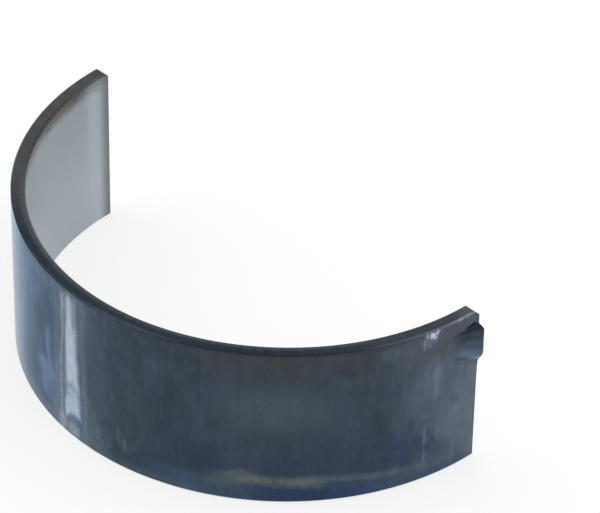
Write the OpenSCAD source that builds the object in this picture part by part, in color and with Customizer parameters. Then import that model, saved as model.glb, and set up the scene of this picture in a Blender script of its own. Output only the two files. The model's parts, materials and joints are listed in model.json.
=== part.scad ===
// Half shell of a split plain bearing: a bonded strip bent to a half ring, standing on its edge.
// The bore axis is Z, the crown faces -Y and the locating lug is at the +X end, near the upper rim.

/* [Shell] */
// Radius of the steel back, with the shell lying free
back_radius = 29.5; // [22:0.5:45]
// Thickness of the wall, from the back to the bearing surface
wall = 1.6; // [1.4:0.1:3]
// Width along the bore axis
shell_width = 20; // [14:0.5:32]
// How far both parting faces stop short of the bore axis
parting_setback = 0.25; // [0:0.05:1.5]

/* [Edges] */
// Chamfer round both rims at the bearing surface
bore_chamfer = 0.25; // [0.1:0.05:0.5]
// Chamfer round both rims at the back
back_chamfer = 0.2; // [0.1:0.05:0.5]
// Bevel that takes each parting face down to the bearing surface
parting_bevel = 0.3; // [0.1:0.05:0.6]
// Corner clipped off each parting face at the lug side rim
corner_clip = 0.75; // [0.25:0.05:1.25]

/* [Locating lug] */
// Distance from the lug side rim to the sheared shoulder of the lug
lug_shoulder = 1.9; // [1.5:0.1:4]
// Width of the lug along the bore axis, at its foot on the parting face
lug_width = 4.8; // [3:0.1:7]
// Length of the lug along the back, from its root line to the parting face
lug_length = 3.5; // [3:0.25:7]
// How far the lug stands proud of the back at the parting face
lug_height = 0.8; // [0.4:0.1:1.2]
// Lean of the sheared shoulder away from square, in degrees
shoulder_lean = 20; // [0:1:35]
// Lean of the unsheared flank away from square, in degrees
flank_lean = 45; // [30:1:60]
// Angle at which the foot of that flank draws in towards the root, in degrees
flank_taper = 24; // [0:1:35]

/* [Hidden] */
$fn = 192;
bore_radius = back_radius - wall;
rim = shell_width / 2;
parting_y = -parting_setback;
// Each cutter runs this far past the surface that it opens
overrun = 2;
lug_top = rim - lug_shoulder;
lug_foot = lug_top - lug_width;
// The lug is the wall's own end, swung outwards about a root line on the back
root_angle = asin(parting_setback / back_radius) + lug_length / back_radius * 180 / PI;
lug_swing = atan(lug_height / lug_length);
swung_angle = root_angle + lug_swing;
lug_centre = back_radius * [cos(root_angle) - cos(swung_angle), sin(swung_angle) - sin(root_angle)];
lug_reach = back_radius + lug_height + overrun;

// Round blank of the back's radius, chamfered at both rims
module blank() {
    rotate_extrude()
        polygon([
            [0, -rim], [back_radius - back_chamfer, -rim], [back_radius, back_chamfer - rim],
            [back_radius, rim - back_chamfer], [back_radius - back_chamfer, rim], [0, rim]
        ]);
}

// Space inside the bearing surface, flared at both rims by the chamfer
module bore_space() {
    flare = bore_chamfer + overrun;
    rotate_extrude()
        polygon([
            [0, -rim - overrun], [bore_radius + flare, -rim - overrun], [bore_radius, bore_chamfer - rim],
            [bore_radius, rim - bore_chamfer], [bore_radius + flare, rim + overrun], [0, rim + overrun]
        ]);
}

// Everything under the unsheared flank, as it leaves a surface at this radius along the lug's foot
module flank_cut(radius) {
    span = 2 * back_radius;
    translate([radius, parting_y, lug_foot])
        rotate([-flank_taper, 0, 0])
            rotate([0, -flank_lean, 0])
                translate([-span, -span, -span])
                    cube([2 * span, 2 * span, span]);
}

// Disc swung with the lug, kept between its shoulder and its flank as they leave a surface at this radius
module swung_disc(radius) {
    inset = radius - wall;
    depth = lug_reach - radius;
    difference() {
        intersection() {
            translate([lug_centre[0], lug_centre[1], -rim])
                cylinder(r = radius, h = shell_width);
            rotate([90, 0, 0])
                linear_extrude(height = 2 * back_radius, center = true)
                    polygon([
                        [inset, -rim], [lug_reach, -rim],
                        [lug_reach, lug_top - depth * tan(shoulder_lean)],
                        [inset, lug_top + wall * tan(shoulder_lean)]
                    ]);
        }
        flank_cut(radius);
    }
}

// Everything beyond the parting plane
module parting_cut() {
    translate([-lug_reach, parting_y, -rim - overrun])
        cube([2 * lug_reach, 2 * back_radius, shell_width + 2 * overrun]);
}

// Wedge that bevels the inner edge of the parting face on one side, +1 or -1
module bevel_cut(side) {
    translate([0, 0, -rim - overrun])
        linear_extrude(height = shell_width + 2 * overrun)
            polygon([
                [side * (bore_radius + parting_bevel + overrun), parting_y + overrun],
                [side * (bore_radius - overrun), parting_y + overrun],
                [side * (bore_radius - overrun), parting_y - parting_bevel - overrun]
            ]);
}

// Wedge that clips both parting corners at the lug side rim
module clip_cut() {
    rotate([90, 0, 90])
        linear_extrude(height = 2 * lug_reach, center = true)
            polygon([
                [parting_y + overrun, rim - corner_clip - overrun], [parting_y + overrun, rim + overrun],
                [parting_y - corner_clip - overrun, rim + overrun]
            ]);
}

module bearing_shell() {
    color([0.24, 0.27, 0.31])
        difference() {
            union() {
                blank();
                swung_disc(back_radius);
            }
            bore_space();
            swung_disc(bore_radius);
            parting_cut();
            for (side = [-1, 1])
                bevel_cut(side);
            clip_cut();
        }
}

bearing_shell();
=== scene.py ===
import json
import math

import bpy
import numpy as np
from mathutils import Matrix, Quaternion, Vector


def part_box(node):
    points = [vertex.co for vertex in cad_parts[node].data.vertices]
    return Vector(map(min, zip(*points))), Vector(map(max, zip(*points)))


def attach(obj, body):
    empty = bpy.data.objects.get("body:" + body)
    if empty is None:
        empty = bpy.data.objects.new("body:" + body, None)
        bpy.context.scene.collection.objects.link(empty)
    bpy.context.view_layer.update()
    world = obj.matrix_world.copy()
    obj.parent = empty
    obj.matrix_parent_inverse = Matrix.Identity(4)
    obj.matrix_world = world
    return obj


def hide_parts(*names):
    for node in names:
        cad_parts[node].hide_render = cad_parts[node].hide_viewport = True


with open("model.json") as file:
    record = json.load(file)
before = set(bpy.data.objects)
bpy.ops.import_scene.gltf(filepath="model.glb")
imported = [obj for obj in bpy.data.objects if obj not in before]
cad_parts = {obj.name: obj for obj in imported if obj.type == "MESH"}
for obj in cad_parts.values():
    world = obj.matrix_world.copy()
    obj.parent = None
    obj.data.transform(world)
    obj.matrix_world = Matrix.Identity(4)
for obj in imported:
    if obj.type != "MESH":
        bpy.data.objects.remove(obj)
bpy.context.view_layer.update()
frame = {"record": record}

# Bearing shell
# Half of a split plain bearing, one piece: steel strip with a thin bearing metal bonded to one face,
# cut to length, bent to a half round in a press and faced at both parting ends. One corner of the strip
# is sheared and pushed outwards as the lug that keys the shell in its housing.
MM = 0.001
scene = bpy.context.scene
box_low, box_high = (np.array(corner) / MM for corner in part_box("bearing_shell"))
mounts = {mount["name"]: mount for mount in frame["record"]["mounts"]}
back_radius = -box_low[1]
bore_radius = mounts["journal_bore"]["dims"]["r_mm"]
rim = box_high[2]
parting_setback = -box_high[1]

bore_chamfer = 0.25
back_chamfer = 0.2
parting_bevel = 0.3
corner_clip = 0.75
# How far the parting edges and the corners of each chamfer are rolled over
edge_round = 0.06
kink_round = 0.03

lug_shoulder = 1.9
lug_width = 4.8
lug_length = 3.5
lug_height = 0.8
shoulder_lean = math.radians(20)
flank_lean = math.radians(45)
flank_taper = math.radians(24)
lug_top = rim - lug_shoulder
lug_foot = lug_top - lug_width
# How softly the metal bends at the sheared shoulder, at the crest of the flank and at the flank's foot
shear_round = 0.11
crest_round = 0.36
press_round = 0.36
# The lug is the wall's own end, swung outwards about a root line on the back
root_angle = math.asin(parting_setback / back_radius) + lug_length / back_radius
swung_angle = root_angle + math.atan(lug_height / lug_length)
lug_centre = back_radius * np.array([
    math.cos(root_angle) - math.cos(swung_angle), math.sin(swung_angle) - math.sin(root_angle)])
# The lug lies well beyond this angle from the crown, in radians
lug_from = 0.5


def soft_ramp(x, softness):
    """0 below zero and x above it, with the corner rounded: half of x plus the root of x squared plus
    softness squared."""
    return (x + np.sqrt(x * x + softness * softness)) / 2


def soft_least(a, b, softness):
    """The lesser of a and b, blended where they cross: b less the soft ramp of b - a."""
    return b - soft_ramp(b - a, softness)


def lug_rise(angle, height, radius):
    """How far the pressed lug lifts a surface of this radius. The wall's end is swung about the root line,
    so a ray from the axis meets a circle about the swung centre. Two planes cap the lift: the sheared
    shoulder from above, and from below the flank, whose foot rises by the taper on its way to the root."""
    along = lug_centre[0] * np.sin(angle) - lug_centre[1] * np.cos(angle)
    swung = along + np.sqrt(radius ** 2 - lug_centre @ lug_centre + along ** 2) - radius
    out = np.maximum(np.sin(angle), math.sin(lug_from))
    shoulder = (radius + (lug_top - height) / math.tan(shoulder_lean)) / out - radius
    steepness = math.tan(flank_lean) / math.cos(flank_taper)
    draw_in = math.tan(flank_taper) / steepness
    flank_reach = radius + (height - lug_foot) / steepness + parting_setback * draw_in
    flank = flank_reach / (out + np.cos(angle) * draw_in) - radius
    lift = soft_least(soft_least(swung, shoulder, shear_round), flank, crest_round)
    crease = np.interp(height, [lug_foot + 2, lug_top - 1], [press_round, shear_round])
    return np.where(angle > lug_from, soft_ramp(lift, crease), 0.0)


def samples(*stretches):
    """Places along a line, from stretches of (first, last, spacing): each is cut into equal steps."""
    steps = [np.linspace(a, b, math.ceil((b - a) / gap), endpoint=False) for a, b, gap in stretches]
    return np.concatenate([*steps, [stretches[-1][1]]])


def shell_block(heights, shares, turns, round_steps):
    """The wall as a block of rows (heights), layers (shares of the wall from back to bore) and columns.
    A row and layer give a radius, drawn in by the rim chamfers; a column turns it to a share of the angle
    at which it meets the parting face. The last columns at each end roll the edges over: the section
    shrinks by one minus the cosine and nears the face by one minus the sine of a quarter turn. The lug's
    lift changes where a point meets that face, so the angle and the lift are worked out twice."""
    quarter = np.linspace(0, math.pi / 2, round_steps + 1)[1:]
    near_end = np.concatenate([quarter[::-1], np.zeros(len(turns)), quarter])
    turn = np.concatenate([-np.ones(round_steps), turns, np.ones(round_steps)])
    inset = edge_round * (1 - np.cos(near_end))
    short = edge_round * (1 - np.sin(near_end))
    over = np.abs(heights) - rim
    back = back_radius - soft_ramp(over + back_chamfer, kink_round)
    bore = bore_radius + soft_ramp(over + bore_chamfer, kink_round)
    share = shares[None, :, None]
    radius = (back[:, None] + shares * (bore - back)[:, None])[:, :, None] + inset * (2 * share - 1)
    height = heights[:, None, None] * (1 - inset / rim) + 0 * share
    lifted = radius
    for _ in range(2):
        bevel = soft_ramp(bore_radius + parting_bevel - lifted, kink_round)
        clip = soft_ramp(height - rim + corner_clip, kink_round)
        angle = turn * np.arccos((parting_setback + np.maximum(bevel, clip) + short) / lifted)
        back_lift = lug_rise(angle, height, back_radius)
        bore_lift = lug_rise(angle, height, bore_radius)
        lifted = radius + (1 - share) * back_lift + share * bore_lift
    points = np.stack([lifted * np.sin(angle), -lifted * np.cos(angle), height], -1)
    place = np.stack([angle * back_radius, height, share + 0 * angle], -1)
    return points, place


def block_skin(shape):
    """The six sides of a block of grid points as quads that face outwards: the back, the bore, the two
    rims and the two parting faces. Gives the points that they use, the quads, and the number of each
    quad's side."""
    ids = np.arange(np.prod(shape)).reshape(shape)
    sides = [ids[:, 0, :], ids[:, -1, ::-1], ids[-1], ids[0, :, ::-1], ids[:, :, -1], ids[:, ::-1, 0]]
    quads = [np.stack([s[:-1, :-1], s[:-1, 1:], s[1:, 1:], s[1:, :-1]], -1).reshape(-1, 4) for s in sides]
    number = np.repeat(np.arange(len(sides)), [len(q) for q in quads])
    used, order = np.unique(np.concatenate(quads), return_inverse=True)
    return used, order.reshape(-1, 4), number


# Rows, layers and columns crowd together at the chamfers, the clipped corners, the lug and the ends
near_chamfer = rim - 0.34
near_clip = rim - corner_clip - 0.12
rows = samples(
    (-rim, -near_chamfer, 0.035), (-near_chamfer, lug_foot - 0.6, 0.45),
    (lug_foot - 0.6, lug_foot + 2.4, 0.08), (lug_foot + 2.4, lug_top - 0.5, 0.16),
    (lug_top - 0.5, lug_top + 0.2, 0.035), (lug_top + 0.2, near_clip, 0.12),
    (near_clip, near_chamfer, 0.04), (near_chamfer, rim, 0.035))
layers = samples((0, 0.06, 0.03), (0.06, 0.74, 0.17), (0.74, 0.94, 0.04), (0.94, 1, 0.03))
columns = samples((-1, -0.965, 0.0035), (-0.965, 0.86, 0.014), (0.86, 1, 0.0026))
points, place = shell_block(rows, layers, columns, round_steps=4)
used, quads, side = block_skin(points.shape[:3])

mesh = bpy.data.meshes.new("bearing_shell_surface")
mesh.from_pydata((points.reshape(-1, 3)[used] * MM).tolist(), [], quads.tolist())
mesh.attributes.new("place", "FLOAT_VECTOR", "POINT").data.foreach_set(
    "vector", place.reshape(-1, 3)[used].astype(np.float32).ravel())
mesh.polygons.foreach_set("use_smooth", np.ones(len(quads), bool))
mesh.update()
shell = bpy.data.objects.new("shell_surface", mesh)
scene.collection.objects.link(shell)


class Wire:
    """One socket in a node tree. Sums on wires add Math nodes, and make() adds any other node."""

    def __init__(self, tree, socket=None):
        self.tree = tree
        self.socket = socket

    def make(self, kind, settings=(), sockets=(), out=0):
        """Adds a node of this type. Its settings come first; its sockets, by name or number, take values
        or wires; out says which output the new wire is."""
        node = self.tree.nodes.new(kind)
        for name, value in dict(settings).items():
            setattr(node, name, value)
        for name, value in dict(sockets).items():
            if isinstance(value, Wire):
                self.tree.links.new(value.socket, node.inputs[name])
            else:
                node.inputs[name].default_value = value
        return Wire(self.tree, node.outputs[out] if len(node.outputs) else None)

    def output(self, name):
        """Another output of the node that this wire comes from."""
        return Wire(self.tree, self.socket.node.outputs[name])

    def math(self, operation, *values):
        """A Math node on these values or wires."""
        return self.make("ShaderNodeMath", {"operation": operation}, enumerate(values))

    def __add__(self, other):
        return self.math("ADD", self, other)

    def __radd__(self, other):
        return self.math("ADD", other, self)

    def __sub__(self, other):
        return self.math("SUBTRACT", self, other)

    def __rsub__(self, other):
        return self.math("SUBTRACT", other, self)

    def __mul__(self, other):
        return self.math("MULTIPLY", self, other)

    def __rmul__(self, other):
        return self.math("MULTIPLY", other, self)

    def __truediv__(self, other):
        return self.math("DIVIDE", self, other)

    def __rtruediv__(self, other):
        return self.math("DIVIDE", other, self)

    def __abs__(self):
        return self.math("ABSOLUTE", self)

    def most(self, other):
        """The greater of the two."""
        return self.math("MAXIMUM", self, other)

    def step(self, low, high):
        """0 at low and 1 at high, with a smooth step between; low may be above high."""
        if low > high:
            return 1 - self.step(high, low)
        sockets = {0: self, 1: low, 2: high}
        return self.make("ShaderNodeMapRange", {"interpolation_type": "SMOOTHSTEP"}, sockets)

    def band(self, low, high, soft):
        """1 between low and high, with soft shoulders outside them."""
        return self.step(low - soft, low) * self.step(high + soft, high)

    def ridge(self, centre, width):
        """1 on the centre line, falling smoothly to 0 at this width to either side."""
        return abs(self - centre).step(width, 0)

    def over(self, under, colour):
        """This wire is a mask: the colour laid over the colour under it."""
        sockets = {0: self, 6: under, 7: colour}
        return self.make("ShaderNodeMix", {"data_type": "RGBA", "clamp_factor": True}, sockets, out=2)


def bare_nodes(owner):
    """Empties the node tree of a material or a world, and gives a wire to begin it from."""
    owner.use_nodes = True
    owner.node_tree.nodes.clear()
    return Wire(owner.node_tree)


def paint(red, green, blue):
    """A colour as it shows on screen, 0 to 255, in the linear values that a shader takes."""
    shown = np.array([red, green, blue]) / 255
    linear = np.where(shown <= 0.04045, shown / 12.92, ((shown + 0.055) / 1.055) ** 2.4)
    return (*linear.tolist(), 1.0)


class Place:
    """Where a point lies on the shell: mm along the arc from the crown, with the lug end positive, mm above
    the middle, and depth in the wall as a share of it, from the back."""

    def __init__(self, start):
        self.start = start
        self.spot = start.make("ShaderNodeAttribute", {"attribute_name": "place"}, out="Vector")
        self.arc = start.make("ShaderNodeSeparateXYZ", (), {0: self.spot}, out="X")
        self.height = self.arc.output("Y")
        self.depth = self.arc.output("Z")

    def grain(self, arc_size, height_size, detail, seed):
        """Noise about 0, mostly from -1 to 1, in patches of these sizes in mm along arc and axis. The seed
        moves the pattern aside, by its own amount along each axis, so that no two patterns agree."""
        scaled = self.start.make("ShaderNodeVectorMath", {"operation": "MULTIPLY_ADD"}, {
            0: self.spot, 1: (1 / arc_size, 1 / height_size, 0.7), 2: (seed, 2.3 * seed, 3.1 * seed)})
        noise = self.start.make("ShaderNodeTexNoise", {"noise_dimensions": "3D"}, {
            "Vector": scaled, "Scale": 1.0, "Detail": detail, "Roughness": 0.55})
        return (noise - 0.5) * 3.2

    def blot(self, arc, height, arc_half, height_half, ragged, soft=0.5):
        """An oval patch about a point: 1 inside, with a soft edge that ragged noise pushes in and out."""
        across = (self.arc - arc) / arc_half
        along = (self.height - height) / height_half
        square = across * across + along * along
        return (square.math("SQRT", square) + ragged).step(1 + soft, 1 - soft)


# Drawn steel of the back, darkened by heat and handling. Its noises run from broad clouds to fine hairs
# along the axis: sizes along arc and axis, detail and seed.
steel_back = bpy.data.materials.new("drawn_steel_back")
start = bare_nodes(steel_back)
on = Place(start)
arc = on.arc
height = on.height
clouds = on.grain(7, 12, 3, 1.0)
smudges = on.grain(2.2, 3.6, 4, 14.0)
mottle = on.grain(0.9, 1.5, 4, 2.0)
strokes = on.grain(1.0, 8, 3, 21.0)
lines = on.grain(0.4, 9, 3, 4.0)
hairs = on.grain(0.12, 5, 1, 9.0)
frayed = on.grain(0.35, 0.35, 2, 6.0)
hue = on.grain(1.6, 2.4, 3, 17.0)
specks = on.grain(0.16, 0.16, 0, 12.0)
ragged = mottle * 0.5 + smudges * 0.4 + frayed * 0.2

# Colour over the whole back: dark slate, browner under the upper rim, paler at the lug end
# and bluer past the crown.
colour = (clouds * 0.4 + smudges * 0.5).step(-1.0, 1.2).over(paint(51, 60, 69), paint(65, 76, 88))
under_rim = arc.band(17, 32, 5) * height.step(5, 8.5)
colour = (under_rim * (0.7 + mottle * 0.2)).over(colour, paint(62, 65, 69))
colour = (height.step(0, -5) * arc.band(11, 34, 5) * 0.5).over(colour, paint(50, 62, 81))
colour = (arc.step(5.5, 0.5) * 0.9).over(colour, paint(75, 85, 98))
lug_side = arc.step(33.5, 40.5) * (0.85 + smudges * 0.2)
colour = lug_side.over(colour, paint(84, 93, 107))
colour = (lug_side * height.step(4.5, 7) * 0.8).over(colour, paint(73, 80, 85))
colour = arc.band(-20, -7, 6).over(colour, paint(64, 76, 93))
# Painted highlight: paler towards the far edge past the crown, standing in for the glancing reflection
# there.
colour = (arc.step(-11.5, -15.5) * arc.step(-42, -19) * 0.7).over(colour, paint(102, 118, 125))

# Soft patches left by heat and handling: arc, height, half sizes along both, strength and tint.
for patch_arc, patch_height, arc_half, height_half, strength, tint in [
        (43.3, -2.6, 1.6, 4.2, 0.70, (98, 107, 121)),
        (42.4, 9.0, 1.2, 1.0, 0.60, (76, 76, 84)),
        (41.4, 7.3, 0.9, 0.9, 0.60, (69, 83, 83)),
        (40.3, 3.6, 1.2, 2.6, 0.50, (100, 108, 124)),
        (37.4, -4.6, 2.0, 3.0, 0.65, (46, 60, 88)),
        (41.0, -6.4, 1.9, 1.3, 0.60, (58, 72, 92)),
        (35.4, 8.6, 1.3, 0.9, 0.80, (78, 90, 91)),
        (23.0, 2.6, 5.5, 2.8, 0.70, (72, 82, 89)),
        (15.0, -5.0, 2.8, 1.9, 0.50, (44, 59, 78)),
        (12.0, 1.0, 1.4, 4.0, 0.15, (48, 58, 74)),
        (10.3, 8.4, 2.4, 1.6, 0.50, (50, 60, 66)),
        (6.2, -4.0, 2.4, 4.0, 0.40, (68, 76, 83)),
        (2.4, 8.4, 1.3, 0.8, 0.50, (60, 76, 88)),
        (-7.6, 8.6, 1.7, 1.0, 0.50, (96, 110, 120)),
        (1.3, -6.4, 0.9, 2.6, 0.50, (104, 113, 124)),
        (2.2, -7.6, 1.5, 1.7, 0.60, (88, 99, 112)),
        (-5.2, 8.4, 1.5, 1.4, 0.60, (80, 90, 104)),
        (-4.9, -5.6, 1.1, 3.6, 0.80, (98, 110, 128)),
        (-6.0, 1.0, 0.7, 1.6, 0.70, (84, 96, 112)),
        (-8.0, 2.6, 1.2, 2.4, 0.70, (46, 59, 69)),
        (-10.7, -5.4, 2.0, 2.9, 0.85, (40, 53, 57)),
        (-10.0, 6.4, 2.4, 2.6, 0.60, (80, 95, 121)),
        (-12.8, 3.0, 1.4, 4.5, 0.70, (86, 108, 115)),
        (-14.6, -3.0, 1.6, 3.0, 0.60, (98, 108, 126))]:
    patch = on.blot(patch_arc, patch_height, arc_half, height_half, ragged, 0.5) * (0.95 + strokes * 0.4)
    colour = (patch * (0.95 + mottle * 0.4) * strength).over(colour, paint(*tint))

# A blue bloom past the crown with one pale nick in it, darker strokes over the middle of the back,
# and smears under the rim and above the foot on either side of the streak.
for bloom_arc, bloom_height, arc_half, height_half in [
        (-7.1, -3.6, 1.1, 1.2), (-6.8, -5.9, 0.9, 1.3), (-6.1, 0.4, 0.4, 2.2), (-5.8, -3.2, 0.6, 2.0)]:
    bloom = on.blot(bloom_arc, bloom_height, arc_half, height_half, ragged * 0.9 + frayed * 0.2, 0.6)
    colour = (bloom * 0.7).over(colour, paint(104, 122, 147))
colour = (on.blot(-5.4, -3.85, 0.35, 0.1, frayed * 0.3) * 0.5).over(colour, paint(150, 160, 172))
stroked = strokes.step(0, 0.9) * arc.band(7, 38, 4) * height.step(8, 4)
colour = (stroked * 0.35).over(colour, paint(46, 58, 82))
smears = mottle + frayed * 0.5
smeared_high = arc.band(-9, -4.5, 2) * height.step(4.5, 7)
colour = (smeared_high * smears.step(0.0, 0.4) * 0.5).over(colour, paint(98, 109, 122))
colour = (smeared_high * smears.step(-0.1, -0.5) * 0.5).over(colour, paint(66, 82, 100))
smeared_low = arc.band(1.5, 8, 2) * height.step(-2, -4)
colour = (smeared_low * mottle.step(0.0, 0.5) * 0.6).over(colour, paint(50, 58, 74))
colour = (smeared_low * mottle.step(-0.1, -0.6) * 0.35).over(colour, paint(84, 92, 102))

# Along the foot, heat tint and painted reflection: a pale grey edge that fades to blue-grey on either side,
# and navy under it.
foot_line = height + (arc - 19) * 0.055 + ragged * 0.25 + frayed * 0.15
colour = (foot_line.step(-7.0, -7.9) * arc.step(6, 13) * 0.75).over(colour, paint(63, 78, 98))
navy_tint_and_reflection = foot_line.step(-7.4, -8.1) * (arc + smudges * 1.5).band(22.5, 31.5, 4) * (0.95 + strokes * 0.25)
colour = navy_tint_and_reflection.over(colour, arc.step(27, 32).over(paint(48, 60, 86), paint(52, 66, 98)))
falling_line = foot_line + (arc - 28) * 0.045
blue_tint_and_reflection = falling_line.ridge(-6.4, 0.85) * arc.band(27.5, 38, 3) * (0.65 + smudges * 0.2)
colour = blue_tint_and_reflection.over(colour, paint(82, 96, 105))
pale_tint_and_reflection = (arc + smudges * 0.6).band(19.0, 26.4, 2.8) * (0.85 + smudges * 0.35 + strokes * 0.25)
colour = (foot_line.ridge(-7.1, 0.8) * pale_tint_and_reflection * 0.8).over(colour, paint(86, 96, 104))
colour = (foot_line.ridge(-6.7, 0.85) * pale_tint_and_reflection * 0.85).over(colour, paint(95, 100, 99))
colour = (on.blot(19.4, -6.5, 1.5, 0.8, ragged, 0.6) * 0.6).over(colour, paint(90, 98, 101))
colour = (on.blot(17.2, -7.3, 1.8, 0.9, ragged, 0.6) * 0.4).over(colour, paint(82, 92, 98))
colour = (height.step(-8.3, -9.4) * arc.band(1, 14, 4) * 0.6).over(colour, paint(74, 86, 102))
colour = (height.step(-7.4, -9.4) * arc.band(-12, -1, 6) * 0.65).over(colour, paint(110, 116, 118))

# Painted highlight near the crown, standing in for a lamp's reflection: a pale streak along the axis beside
# a hair line, with a soft sheen about it, soft dark bows across it, a paler band beside it and a thin prong
# that runs on towards the upper rim.
left_edge = -2.6 + height.step(3.5, 6) * 0.25 - height.step(-4, -6) * 0.25 + mottle * 0.08
right_edge = -0.6 - height * 0.055 - height.step(8, 9.3) * 0.6 + mottle * 0.12
off_middle = arc + 1.7
bow = height + off_middle * off_middle * 0.6 + mottle * 0.15
streak_foot = height + (off_middle - 0.6) * (off_middle - 0.6) * 0.35 + mottle * 0.15
# Mask of the streak's painted highlight.
streak_highlight = (arc - left_edge).step(-0.25, 0.4) * (right_edge - arc).step(-0.45, 0.6)
streak_highlight = streak_highlight * streak_foot.step(-7.2, -6.2)
streak_highlight = streak_highlight * (1 - height.step(4, 6.2) * 0.5 - height.step(7, 9) * 0.35)
streak_highlight = streak_highlight * (1 - bow.ridge(-3.0, 1.1) * 0.48 - bow.ridge(-4.2, 0.5) * 0.25)
streak_highlight = streak_highlight * (0.97 + mottle * 0.06 + lines * 0.06 + height.step(3.5, 7) * (lines * 0.9 - 0.15))
sheen = arc.band(-4.2, -1.5, 1.2) * (0.4 + height.step(5, -3) * 0.5) + arc.band(-1.5, 0.2, 1.0) * 0.4
colour = sheen.over(colour, paint(104, 115, 130))
# The streak's painted highlight, paler towards its top.
upper_streak_highlight = arc.band(-3.1, -0.9, 0.5) * height.band(4.8, 8.4, 1.2) * (0.55 + lines * 0.3)
colour = upper_streak_highlight.over(colour, paint(136, 144, 158))
hair_line = arc + 3.45 - height.step(-1, 4) * 0.4 + smudges * 0.08
hair_tone = 0.42 + height.band(1.5, 7.5, 1) * 0.2 + height.step(-5, -8) * 0.25 + mottle * 0.25
colour = (hair_line.ridge(0, 0.42) * hair_tone * height.step(9.4, 8)).over(colour, paint(142, 152, 166))
colour = (hair_line.ridge(0.5, 0.25) * 0.35).over(colour, paint(92, 103, 119))
for foot_arc, foot_height, arc_half, height_half in [(-1.4, -8.9, 0.8, 0.7), (-3.4, -8.8, 0.6, 1.2)]:
    foot_blot = on.blot(foot_arc, foot_height, arc_half, height_half, ragged, 0.7) * (0.65 + mottle * 0.3)
    colour = foot_blot.over(colour, paint(156, 162, 163))
colour = (arc.ridge(-0.2, 0.2) * height.step(6, 3) * 0.4).over(colour, paint(72, 81, 93))
side_band = (arc + smudges * 0.2).ridge(0.5, 0.5) * height.step(3, -4) * (0.4 + mottle * 0.25)
colour = side_band.over(colour, paint(116, 122, 134))
colour = streak_highlight.over(colour, paint(177, 187, 202))
# A thin prong of painted highlight running on towards the upper rim.
prong_highlight = (arc + 1.9 + mottle * 0.06).ridge(0, 0.55) * height.band(5.2, 8.6, 1.0) * (0.65 + lines * 0.2)
colour = prong_highlight.over(colour, paint(188, 191, 204))

# Scratches along the axis, each with its arc, foot, head, width and strength; pale specks; and a scuff of
# small bright spots under the rim beside the lug, each with its arc, height, half sizes and strength.
for scratch_arc, foot, head, width, strength in [
        (39.3, -7.0, -3.4, 0.22, 0.12), (40.9, -4.6, -2.8, 0.18, 0.10), (41.3, -4.8, -3.2, 0.16, 0.08),
        (6.8, 0.8, 4.2, 0.16, 0.04), (9.9, 4.8, 5.6, 0.22, 0.05), (8.8, 2.6, 3.2, 0.20, 0.03),
        (4.5, -1.4, -0.6, 0.30, 0.05), (5.2, -6.2, -5.0, 0.36, 0.09), (6.1, -6.8, -6.6, 0.28, 0.13),
        (40.5, 1.2, 4.0, 0.60, 0.08)]:
    mark = arc.ridge(scratch_arc, width) * height.band(foot, head, 1.2) * (1 + mottle * 0.8) * strength
    colour = mark.over(colour, paint(158, 168, 184))
colour = (specks.step(1.15, 1.4) * 0.2).over(colour, paint(140, 148, 160))
speckled = on.blot(5.6, -6.2, 0.7, 1.0, ragged, 0.6)
colour = (specks.step(0.7, 1.0) * speckled * 0.3).over(colour, paint(140, 148, 160))
colour = (on.blot(39.6, 8.9, 0.9, 0.9, frayed * 0.5, 0.7) * 0.5).over(colour, paint(112, 117, 134))
for spot_arc, spot_height, arc_half, height_half, strength in [
        (39.8, 9.4, 0.28, 0.34, 0.85), (40.45, 9.6, 0.24, 0.32, 0.55), (40.2, 8.95, 0.24, 0.22, 0.50),
        (40.1, 9.4, 0.34, 0.30, 0.35), (39.2, 9.6, 0.14, 0.40, 0.35), (38.9, 8.6, 0.14, 0.60, 0.12)]:
    spot = on.blot(spot_arc, spot_height, arc_half, height_half, frayed * 0.5, 0.6)
    colour = (spot * strength).over(colour, paint(204, 206, 220))

# The lug: soot and painted shade about its sheared shoulder and on its up-facing facet, a bluish painted
# highlight along its flank where the crest turns over, and painted shade in the crease at the flank's foot.
root_arc = back_radius * (math.pi / 2 - root_angle)
shear_fall = lug_height * math.tan(shoulder_lean) / lug_length
on_lug = (arc + mottle * 0.2).step(42.2, 44.2)
flank_line = height + (arc - 43.2) * 0.46
colour = (arc.step(43.6, 45.6) * height.step(4, 2) * 0.6).over(colour, paint(97, 106, 113))
# Soot and painted shade on the upper flank, a bluish painted highlight where the crest turns over, and
# painted shade in the crease at the foot.
colour = (on_lug * flank_line.band(5.9, 7.6, 0.6) * 0.7).over(colour, paint(64, 73, 88))
colour = (on_lug * flank_line.ridge(5.55, 1.2) * 0.75).over(colour, paint(91, 107, 125))
colour = (on_lug * flank_line.ridge(4.5, 0.8) * 0.5).over(colour, paint(68, 78, 90))
colour = (on_lug * flank_line.ridge(4.8, 0.5) * 0.7).over(colour, paint(40, 47, 56))
above_lug = height.step(lug_top - 0.05, lug_top + 0.2)
# Soot and painted shade about the sheared shoulder, lighter above the lug's top.
soot_and_shade = on.blot(45.2, 7.6, 2.7, 0.9, ragged * 0.3, 0.5) * (1 - above_lug * 0.65)
colour = (soot_and_shade * 0.75).over(colour, paint(45, 53, 60))
# Painted shade, partly soot, on the up-facing sheared facet.
sheared_foot = lug_top - (arc - root_arc) * shear_fall
sheared = (height - sheared_foot).step(-0.1, 0.02) * height.step(lug_top + 0.15, lug_top + 0.03)
colour = (sheared * arc.step(42.4, 43.4) * 0.9).over(colour, paint(32, 38, 44))

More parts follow.
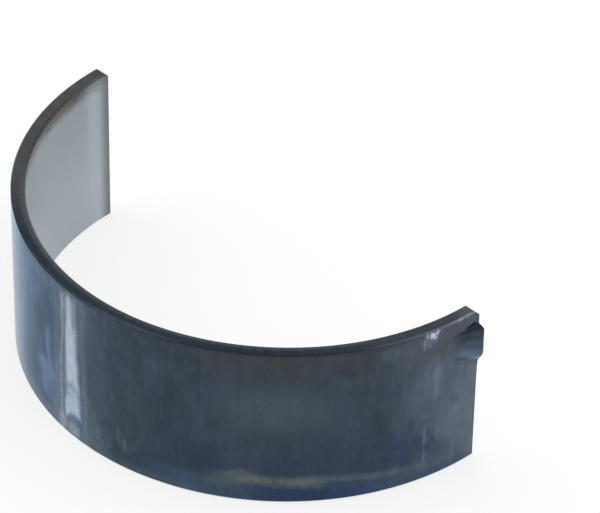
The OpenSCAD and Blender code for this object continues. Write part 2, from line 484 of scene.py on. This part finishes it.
# The chamfer at the upper rim carries painted shade, darkest past the crown, and beside the lug a bright
# stretch of wear and painted highlight.
chamfer_foot = rim - back_chamfer
on_chamfer = (height + mottle * 0.02).step(chamfer_foot - 0.05, chamfer_foot + 0.03)
past_crown = arc.step(14, 8.5) * 0.42 + arc.step(5, -1) * 0.55
chamfer_colour = past_crown.over(paint(70, 77, 86), paint(28, 36, 43))
chamfer_colour = (arc + mottle * 0.3).step(40.6, 44.0).over(chamfer_colour, paint(98, 102, 110))
colour = (on_chamfer * (0.7 + past_crown * 0.25)).over(colour, chamfer_colour)
near_rim = (height + mottle * 0.1).step(rim - 0.7, rim - 0.2) * arc.step(40, 36)
colour = (near_rim * 0.3).over(colour, paint(44, 50, 57))
# Wear and painted highlight on the chamfer beside the lug.
wear_and_glint = (height + frayed * 0.2).step(rim - 0.45, rim - 0.15) * (arc + frayed * 0.9).band(43.6, 44.7, 0.6)
colour = (wear_and_glint * frayed.step(-0.6, 0.7) * 0.5).over(colour, paint(142, 130, 136))

# Drawing lines and mottle in the tone, a drift between warm and blue in the hue, and fine ruts.
drift = hue * 0.07
tinted = start.make("ShaderNodeCombineXYZ", (), {
    0: 1 - drift, 1: 1 + mottle * 0.02 - smudges * 0.06, 2: 1 + drift})
colour = start.make("ShaderNodeVectorMath", {"operation": "MULTIPLY"}, {0: colour, 1: tinted})
# The fine fraying is held back on the streak's painted highlight.
fray = (0.03 + arc.step(10, 6) * 0.08 + smeared_low * 0.06) * (1 - streak_highlight * 0.8)
tone = 1 + lines * 0.08 + strokes * 0.08 + mottle * 0.12 + smudges * 0.11 + frayed * fray + hairs * 0.03
colour = start.make("ShaderNodeVectorMath", {"operation": "SCALE"}, {0: colour, 3: tone})
ruts = start.make("ShaderNodeBump", (), {
    "Strength": 0.15, "Distance": 0.02 * MM, "Height": lines + hairs * 0.3})
grazing_tint = (0.72, 0.83, 0.97, 1.0)
metal = start.make("ShaderNodeBsdfPrincipled", (), {
    "Base Color": colour, "Metallic": 1.0, "Roughness": 0.17 + smudges * 0.02 + lines * 0.01,
    "Specular Tint": grazing_tint, "Normal": ruts})
start.make("ShaderNodeOutputMaterial", (), {"Surface": metal})

# Bearing metal in the bore: satin grey, bored round the axis, darker at both ends, with a brownish stain
# along its upper rim, two thin tide lines and dark specks near its foot.
lining = bpy.data.materials.new("bearing_metal_lining")
start = bare_nodes(lining)
on = Place(start)
arc = on.arc
height = on.height
clouds = on.grain(9, 6, 3, 3.0)
mottle = on.grain(1.6, 1.0, 4, 5.0)
rings = on.grain(40, 0.14, 2, 7.0)
frayed = on.grain(0.8, 0.45, 3, 11.0)
specks = on.grain(0.4, 0.4, 1, 8.0)
end_gap = back_radius * math.pi / 2 - abs(arc)
colour = (height.step(9, -8) * 0.9 + clouds * 0.12).over(paint(141, 150, 157), paint(164, 172, 178))
colour = (end_gap.band(2.4, 3.4, 1.6) * 0.45).over(colour, paint(174, 182, 186))
colour = (end_gap.step(2.5, 0.4) * 0.95).over(colour, paint(104, 113, 116))
colour = (end_gap.step(1.4, 0.5) * height.step(3, 7) * 0.6).over(colour, paint(108, 107, 130))
rim_gap = rim - height + frayed * 0.3 + mottle * 0.3 + clouds * 0.25
colour = (rim_gap.step(2.6, 0.9) * 0.5).over(colour, paint(122, 126, 130))
stained = 0.3 + end_gap.step(3, 6) * end_gap.step(24, 15) * 0.65
stain_gap = rim_gap - end_gap.band(6, 12, 3) * 0.3 + frayed * 0.2
colour = (stain_gap.step(1.8, 0.4) * stained).over(colour, paint(80, 78, 77))
spots = (frayed + mottle * 0.4).step(0.15, 0.6) * (rim - height + clouds * 0.3).step(2.6, 1.2)
colour = (spots * stained * 0.6).over(colour, paint(76, 72, 70))
chamfer_foot = rim - bore_chamfer
on_chamfer = height.step(chamfer_foot - 0.06, chamfer_foot + 0.02)
chamfer_colour = end_gap.step(10, 20).over(paint(69, 68, 66), paint(55, 62, 70))
colour = (on_chamfer * 0.9).over(colour, chamfer_colour)
tide = height + clouds * 0.5 + mottle * 0.08
for line_height, strength in [(4.6, 0.35), (3.3, 0.25)]:
    tide_line = tide.ridge(line_height, 0.16) * arc.step(-22, -6) * strength
    colour = tide_line.over(colour, paint(100, 100, 102))
colour = (specks.step(1.25, 1.5) * height.step(-6.5, -9.5) * 0.6).over(colour, paint(70, 72, 76))
colour = start.make("ShaderNodeVectorMath", {"operation": "SCALE"}, {
    0: colour, 3: 1 + rings * 0.015 + mottle * 0.04})
ruts = start.make("ShaderNodeBump", (), {"Strength": 0.1, "Distance": 0.02 * MM, "Height": rings})
metal = start.make("ShaderNodeBsdfPrincipled", (), {
    "Base Color": colour, "Metallic": 1.0, "Roughness": 0.42 + mottle * 0.03, "Normal": ruts})
start.make("ShaderNodeOutputMaterial", (), {"Surface": metal})

# Cut steel of the rims and parting faces, with the edge of the lining as a strip at the bore side.
cut_steel = bpy.data.materials.new("cut_steel_edges")
start = bare_nodes(cut_steel)
on = Place(start)
arc = on.arc
clouds = on.grain(6, 6, 3, 2.0)
mottle = on.grain(0.8, 0.8, 3, 5.0)
grit = on.grain(0.3, 0.3, 2, 10.0)
on_rim = abs(on.height).step(rim - 0.1, rim - 0.07)
colour = (on.depth + mottle * 0.04).step(0.62, 0.66).over(paint(122, 119, 128), paint(84, 96, 106))
rim_colour = (on.depth + mottle * 0.1).step(0.3, 0.9).over(paint(55, 66, 79), paint(70, 80, 92))
inner_strip = (on.depth + mottle * 0.06).step(0.56, 0.74)
rim_colour = (inner_strip * 0.5).over(rim_colour, paint(100, 110, 118))
rim_colour = (arc + clouds * 3).step(-12, -25).over(rim_colour, paint(92, 95, 93))
rim_colour = (arc + clouds * 2).step(30, 36).over(rim_colour, paint(77, 85, 94))
rim_colour = (arc + mottle).step(42.5, 45).over(rim_colour, paint(106, 111, 116))
colour = on_rim.over(colour, rim_colour)
colour = start.make("ShaderNodeVectorMath", {"operation": "SCALE"}, {
    0: colour, 3: 1 + clouds * 0.15 + mottle * 0.18 + grit * 0.12})
metal = start.make("ShaderNodeBsdfPrincipled", (), {
    "Base Color": colour, "Metallic": 1.0, "Roughness": 0.38})
start.make("ShaderNodeOutputMaterial", (), {"Surface": metal})

# Sides 0 and 1 of the skin are the back and the bore; the rims and parting faces share the third material
for material in (steel_back, lining, cut_steel):
    mesh.materials.append(material)
mesh.polygons.foreach_set("material_index", np.minimum(side, 2).astype(np.int32))
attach(shell, "root")
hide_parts("bearing_shell")

# Floor and light
# A white table under a white room, with two large soft lamps overhead: one at the front left,
# one behind on the right.
floor_half = 1.5
across = np.linspace(-floor_half, floor_half, 2)
floor_grid = np.stack(np.meshgrid(across, across), -1).reshape(-1, 2)
floor_points = np.column_stack([floor_grid, np.full(len(floor_grid), box_low[2] * MM)])
floor_mesh = bpy.data.meshes.new("floor_sheet")
floor_mesh.from_pydata(floor_points.tolist(), [], [(0, 1, 3, 2)])
floor = bpy.data.objects.new("floor", floor_mesh)
scene.collection.objects.link(floor)

white = (1, 1, 1, 1)
table = bpy.data.materials.new("white_table")
start = bare_nodes(table)
bright = start.make("ShaderNodeEmission", (), {"Color": white, "Strength": 1.0})
matt = start.make("ShaderNodeBsdfDiffuse", (), {"Color": (0.9, 0.9, 0.9, 1)})
shadow_share = 0.3
sheet = start.make("ShaderNodeMixShader", (), {0: shadow_share, 1: bright, 2: matt})
start.make("ShaderNodeOutputMaterial", (), {"Surface": sheet})
floor_mesh.materials.append(table)

# The room is plain white to the camera, dims overhead in reflections, and lights a little below white
room = bpy.data.worlds.new("white_room")
start = bare_nodes(room)
seen = start.make("ShaderNodeLightPath", out="Is Camera Ray")
mirrored = seen.output("Is Glossy Ray").most(seen.output("Is Transmission Ray"))
sky = start.make("ShaderNodeTexCoord", out="Generated")
upward = start.make("ShaderNodeSeparateXYZ", (), {0: sky}, out="Z")
overhead_dimming = 0.5
room_light = 0.85
reflected = 1 - upward.step(0.12, 0.6) * overhead_dimming
brightness = seen.most(mirrored * reflected).most(room_light - seen.most(mirrored))
wash = start.make("ShaderNodeBackground", (), {"Color": white, "Strength": brightness})
start.make("ShaderNodeOutputWorld", (), {"Surface": wash})
scene.world = room

lamp_aim = Vector((0, -0.015, 0))
lamp_size = 0.60
lamp_power = 1.2
for lamp_name, lamp_place in [("key_lamp", (-0.30, -0.33, 0.36)), ("rear_lamp", (0.36, 0.25, 0.36))]:
    lamp = bpy.data.lights.new(lamp_name, "AREA")
    lamp.energy = lamp_power
    lamp.size = lamp_size
    stand = bpy.data.objects.new(lamp_name, lamp)
    stand.location = lamp_place
    stand.rotation_euler = (Vector(lamp_place) - lamp_aim).to_track_quat("Z", "Y").to_euler()
    scene.collection.objects.link(stand)

# Camera
# A long lens from the front right, looking down on the shell as it stands on its edge.
lens_pixels = 4110.37
image_width = 600
camera_azimuth = math.radians(45.356)
camera_elevation = math.radians(38.13)
camera_roll = 0.01998
camera_distance = 464.6 * MM
camera_aim = Vector((-7.606, 10.026, -10.0)) * MM
optics = bpy.data.cameras.new("camera")
optics.sensor_width = 36.0
optics.lens = lens_pixels / image_width * optics.sensor_width
optics.clip_start = 0.01
optics.clip_end = 10.0
toward_camera = Vector((
    math.sin(camera_azimuth) * math.cos(camera_elevation),
    -math.cos(camera_azimuth) * math.cos(camera_elevation),
    math.sin(camera_elevation)))
camera = bpy.data.objects.new("camera", optics)
camera.location = camera_aim + toward_camera * camera_distance
camera.rotation_mode = "QUATERNION"
camera.rotation_quaternion = toward_camera.to_track_quat("Z", "Y") @ Quaternion((0, 0, 1), camera_roll)
scene.collection.objects.link(camera)
scene.camera = camera
scene.view_settings.view_transform = "Standard"
